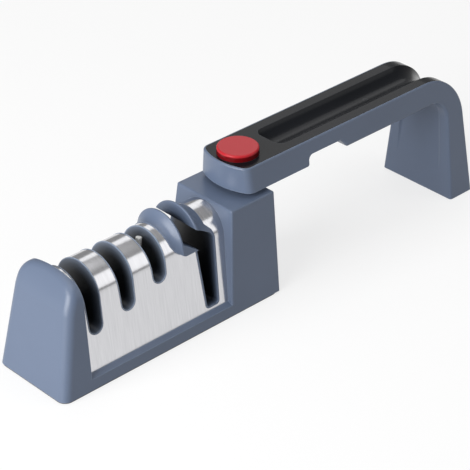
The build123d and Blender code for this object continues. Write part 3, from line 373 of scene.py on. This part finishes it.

# %% [markdown]
# The button is glossy red; below its rim, where it stands in the grip, its side gets painted
# shade.
# Height on Object coordinates separates the two zones.

# %% Red button
red_rim_low = 0.0757
red_rim_high = 0.0763
# Painted shade: the dark red for the button's side below its rim.
red_painted_shade = (0.13, 0.003, 0.005)
gloss_red = moulded_plastic(
    "gloss_red", (0.44, 0.016, 0.024), (0.48, 0.020, 0.029), (0.60, 0.06, 0.07),
    0.22, 1800.0, 0.00001,
)
red_tree = gloss_red.node_tree
red_shader = red_tree.nodes["Principled BSDF"]
red_shader.inputs["Specular IOR Level"].default_value = 0.22
red_place = red_tree.nodes.new("ShaderNodeSeparateXYZ")
link(red_tree, red_tree.nodes["place"].outputs["Object"], red_place.inputs["Vector"])
# Mask for the painted shade: 1 below the rim, 0 on the top.
red_shade_mask = red_tree.nodes.new("ShaderNodeMapRange")
red_shade_mask.inputs["From Min"].default_value = red_rim_high
red_shade_mask.inputs["From Max"].default_value = red_rim_low
link(red_tree, red_place.outputs["Z"], red_shade_mask.inputs["Value"])
red_plain = red_shader.inputs["Base Color"].links[0].from_socket
red_shaded_tone = mix_tone(red_tree, red_shade_mask.outputs["Result"], red_plain, red_painted_shade)
link(red_tree, red_shaded_tone, red_shader.inputs["Base Color"])
paint(gloss_red, "button")
print("button painted")

# %% [markdown]
# The cover is thin stainless sheet, brushed up and down before it was bent. Brushing leaves
# long fine scratches, so noise is stretched along the height and squeezed along the length.

# %% Metals
def brushed_metal(name, dark, light, edge, roughness, stretch, scratch_height):
    """Metal with fine scratches along one direction."""
    material, tree, shader = new_material(name)
    shader.inputs["Metallic"].default_value = 1.0
    place = tree.nodes.new("ShaderNodeTexCoord")
    squeeze = tree.nodes.new("ShaderNodeMapping")
    squeeze.inputs["Scale"].default_value = stretch
    link(tree, place.outputs["Object"], squeeze.inputs["Vector"])
    scratch = tree.nodes.new("ShaderNodeTexNoise")
    scratch.inputs["Scale"].default_value = 1.0
    scratch.inputs["Detail"].default_value = 4.0
    link(tree, squeeze.outputs["Vector"], scratch.inputs["Vector"])
    tone = tree.nodes.new("ShaderNodeValToRGB")
    tone.color_ramp.elements[0].position = 0.3
    tone.color_ramp.elements[0].color = (*dark, 1.0)
    tone.color_ramp.elements[1].position = 0.7
    tone.color_ramp.elements[1].color = (*light, 1.0)
    link(tree, scratch.outputs["Fac"], tone.inputs["Fac"])
    # Painted edge tone: a dark one paints shade along the edges, a light one paints a highlight.
    painted_edge_tone = mix_tone(tree, edge_mask(tree, 0.0004), tone.outputs["Color"], edge)
    link(tree, painted_edge_tone, shader.inputs["Base Color"])
    gloss = tree.nodes.new("ShaderNodeMapRange")
    gloss.inputs["To Min"].default_value = roughness - 0.03
    gloss.inputs["To Max"].default_value = roughness + 0.03
    link(tree, scratch.outputs["Fac"], gloss.inputs["Value"])
    link(tree, gloss.outputs["Result"], shader.inputs["Roughness"])
    bump = tree.nodes.new("ShaderNodeBump")
    bump.inputs["Strength"].default_value = 0.2
    bump.inputs["Distance"].default_value = scratch_height
    link(tree, scratch.outputs["Fac"], bump.inputs["Height"])
    link(tree, bump.outputs["Normal"], shader.inputs["Normal"])
    return material


# The cover's near-black edge tone is painted shade in the fine gaps along its edges.
cover_steel = brushed_metal(
    "cover_steel", (0.60, 0.60, 0.62), (0.68, 0.68, 0.70), (0.05, 0.05, 0.06),
    0.17, (2500.0, 60.0, 60.0), 0.000006,
)
# The edge tones of the small steel parts, the carbide and the diamond grit are painted
# highlights.
bright_steel = brushed_metal(
    "bright_steel", (0.50, 0.50, 0.52), (0.62, 0.62, 0.64), (0.75, 0.75, 0.77),
    0.25, (900.0, 900.0, 900.0), 0.00001,
)
carbide = brushed_metal(
    "carbide", (0.20, 0.20, 0.21), (0.30, 0.30, 0.31), (0.45, 0.45, 0.46),
    0.4, (800.0, 800.0, 3000.0), 0.00002,
)
diamond_grit = brushed_metal(
    "diamond_grit", (0.26, 0.25, 0.22), (0.42, 0.41, 0.37), (0.42, 0.41, 0.37),
    0.55, (9000.0, 9000.0, 9000.0), 0.00006,
)
paint(cover_steel, "steel_cover")
paint(bright_steel, "pivot_post", "pivot_screw", "pivot_washer", "retaining_clip")
paint(bright_steel, "latch_spring", "button_spring")
paint(bright_steel, "base_screws", "handle_screws")
paint(carbide, "carbide_blade_1", "carbide_blade_2")
paint(diamond_grit, "diamond_rod_1", "diamond_rod_2")
print("metals painted")
